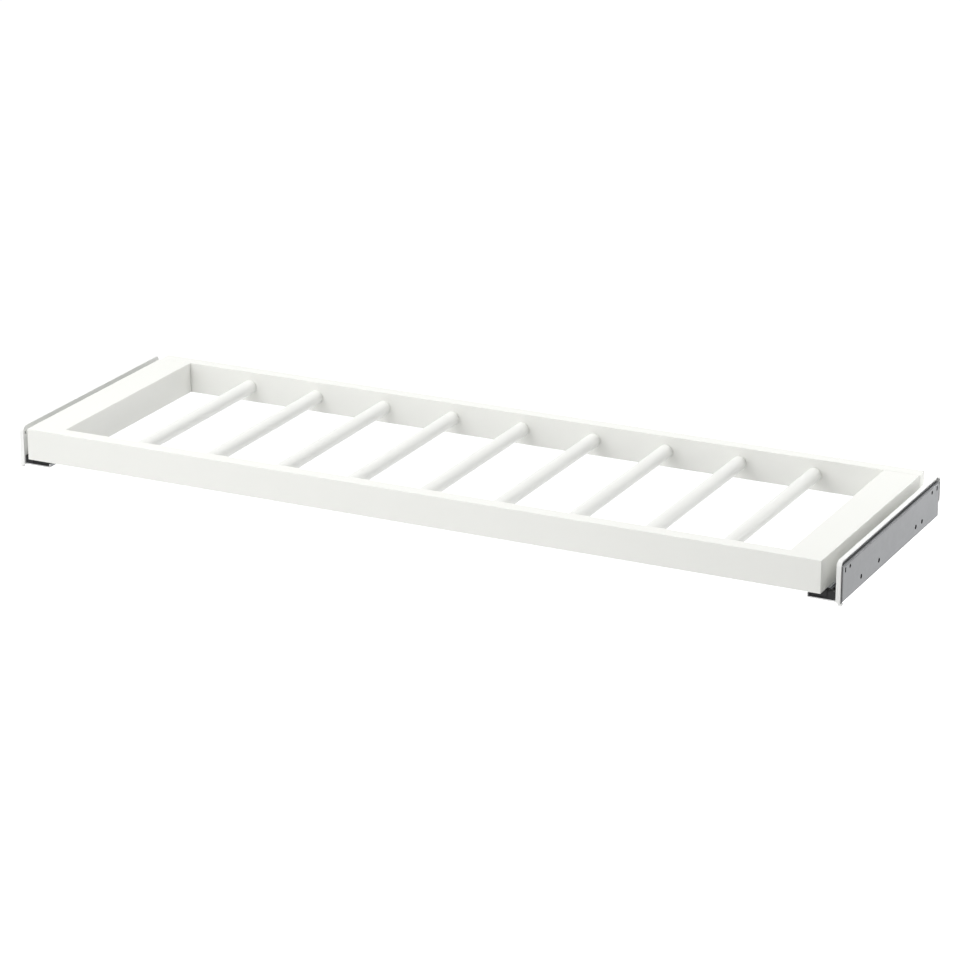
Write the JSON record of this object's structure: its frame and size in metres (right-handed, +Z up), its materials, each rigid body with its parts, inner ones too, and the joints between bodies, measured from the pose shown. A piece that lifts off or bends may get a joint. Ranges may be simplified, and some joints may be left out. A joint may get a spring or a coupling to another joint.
{
  "type": "pull out trouser rack",
  "caption": "Pull-out wardrobe rack: a flat white board frame crossed by round hanging rods, on full-extension ball runners under its sides with white-covered steel side rails.",
  "frame": {"origin": "middle of the footprint, on the lowest plane, which is the toe of the two rail covers", "axes": "+X to the right seen from the front, +Y to the back of the wardrobe, +Z up; the rack pulls out along -Y"},
  "size_m": [0.962, 0.3, 0.0495],
  "materials": {
    "white_board": "white satin foil on particleboard",
    "white_rod": "white satin powder coat on steel tube",
    "beech": "bare fluted beech",
    "zinc_plated": "zinc-plated steel",
    "galvanised": "galvanised sheet steel, satin",
    "white_plastic": "white moulded plastic, fine matt grain",
    "black_plastic": "black moulded plastic, matt",
    "natural_plastic": "natural moulded acetal",
    "ball_steel": "polished ball steel"
  },
  "bodies": {
    "rails": {"left_rail_profile": "galvanised", "left_rail_cover": "white_plastic", "left_fixed_track": "zinc_plated", "left_track_rivets": "zinc_plated", "left_guide_block": "black_plastic", "left_rear_stop": "black_plastic", "right_rail_profile": "galvanised", "right_rail_cover": "white_plastic", "right_fixed_track": "zinc_plated", "right_track_rivets": "zinc_plated", "right_guide_block": "black_plastic", "right_rear_stop": "black_plastic"},
    "rack": {"front_board": "white_board", "back_board": "white_board", "left_side_board": "white_board", "right_side_board": "white_board", "hanging_rod_1": "white_rod", "hanging_rod_2": "white_rod", "hanging_rod_3": "white_rod", "hanging_rod_4": "white_rod", "hanging_rod_5": "white_rod", "hanging_rod_6": "white_rod", "hanging_rod_7": "white_rod", "hanging_rod_8": "white_rod", "hanging_rod_9": "white_rod", "corner_dowels": "beech", "cam_bolts": "zinc_plated", "cam_locks": "zinc_plated", "left_rack_member": "zinc_plated", "left_member_cap": "black_plastic", "left_member_screws": "zinc_plated", "right_rack_member": "zinc_plated", "right_member_cap": "black_plastic", "right_member_screws": "zinc_plated"},
    "left_middle": {"left_middle_member": "zinc_plated"},
    "left_outer_ball_row": {"left_outer_cage": "natural_plastic", "left_outer_balls": "ball_steel"},
    "left_inner_ball_row": {"left_inner_cage": "natural_plastic", "left_inner_balls": "ball_steel"},
    "right_middle": {"right_middle_member": "zinc_plated"},
    "right_outer_ball_row": {"right_outer_cage": "natural_plastic", "right_outer_balls": "ball_steel"},
    "right_inner_ball_row": {"right_inner_cage": "natural_plastic", "right_inner_balls": "ball_steel"}
  },
  "joints": [
    {"name": "rack_slide", "type": "slide", "parent": "rails", "child": "rack", "axis": [0, -1, 0], "range_m": [0, 0.26]},
    {"name": "left_middle_slide", "type": "slide", "parent": "rails", "child": "left_middle", "axis": [0, -1, 0], "range_m": [0, 0.13]},
    {"name": "left_outer_ball_row_slide", "type": "slide", "parent": "rails", "child": "left_outer_ball_row", "axis": [0, -1, 0], "range_m": [0, 0.065]},
    {"name": "left_inner_ball_row_slide", "type": "slide", "parent": "rails", "child": "left_inner_ball_row", "axis": [0, -1, 0], "range_m": [0, 0.195]},
    {"name": "right_middle_slide", "type": "slide", "parent": "rails", "child": "right_middle", "axis": [0, -1, 0], "range_m": [0, 0.13]},
    {"name": "right_outer_ball_row_slide", "type": "slide", "parent": "rails", "child": "right_outer_ball_row", "axis": [0, -1, 0], "range_m": [0, 0.065]},
    {"name": "right_inner_ball_row_slide", "type": "slide", "parent": "rails", "child": "right_inner_ball_row", "axis": [0, -1, 0], "range_m": [0, 0.195]}
  ],
  "couplings": [
    {"joint": "left_middle_slide", "follows": "rack_slide", "ratio": 0.5},
    {"joint": "left_outer_ball_row_slide", "follows": "rack_slide", "ratio": 0.25},
    {"joint": "left_inner_ball_row_slide", "follows": "rack_slide", "ratio": 0.75},
    {"joint": "right_middle_slide", "follows": "rack_slide", "ratio": 0.5},
    {"joint": "right_outer_ball_row_slide", "follows": "rack_slide", "ratio": 0.25},
    {"joint": "right_inner_ball_row_slide", "follows": "rack_slide", "ratio": 0.75}
  ]
}
